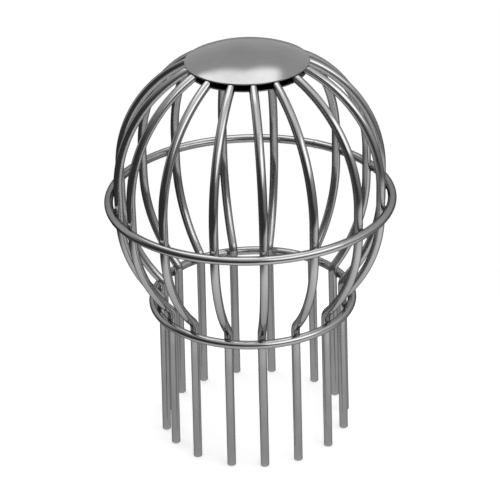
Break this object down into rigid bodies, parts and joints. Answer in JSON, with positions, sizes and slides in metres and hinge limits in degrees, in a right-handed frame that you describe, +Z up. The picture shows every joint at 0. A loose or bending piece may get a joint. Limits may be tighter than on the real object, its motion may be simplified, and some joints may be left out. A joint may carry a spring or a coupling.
{
  "type": "downpipe leaf filter",
  "caption": "Balloon-shaped wire guard with a domed sheet cap and straight legs that push into a gutter outlet, so that water runs through and leaves stay out.",
  "frame": {"origin": "on the ground at the guard's axis, in the plane of the leg tips", "axes": "+Z up along the guard's axis, from the leg tips to the cap; -Y towards the viewer"},
  "size_m": [0.099, 0.099, 0.1417],
  "materials": {
    "sheet": "bright rolled stainless sheet",
    "rib_wire": "bright drawn stainless wire",
    "hoop_wire": "bright drawn stainless wire"
  },
  "bodies": {
    "root": {"cap": "sheet", "backing_disc": "sheet", "rib_01": "rib_wire", "rib_02": "rib_wire", "rib_03": "rib_wire", "rib_04": "rib_wire", "rib_05": "rib_wire", "rib_06": "rib_wire", "rib_07": "rib_wire", "rib_08": "rib_wire", "rib_09": "rib_wire", "rib_10": "rib_wire", "rib_11": "rib_wire", "rib_12": "rib_wire", "rib_13": "rib_wire", "rib_14": "rib_wire", "rib_15": "rib_wire", "rib_16": "rib_wire", "belly_ring": "hoop_wire", "neck_ring": "hoop_wire"}
  },
  "joints": []
}
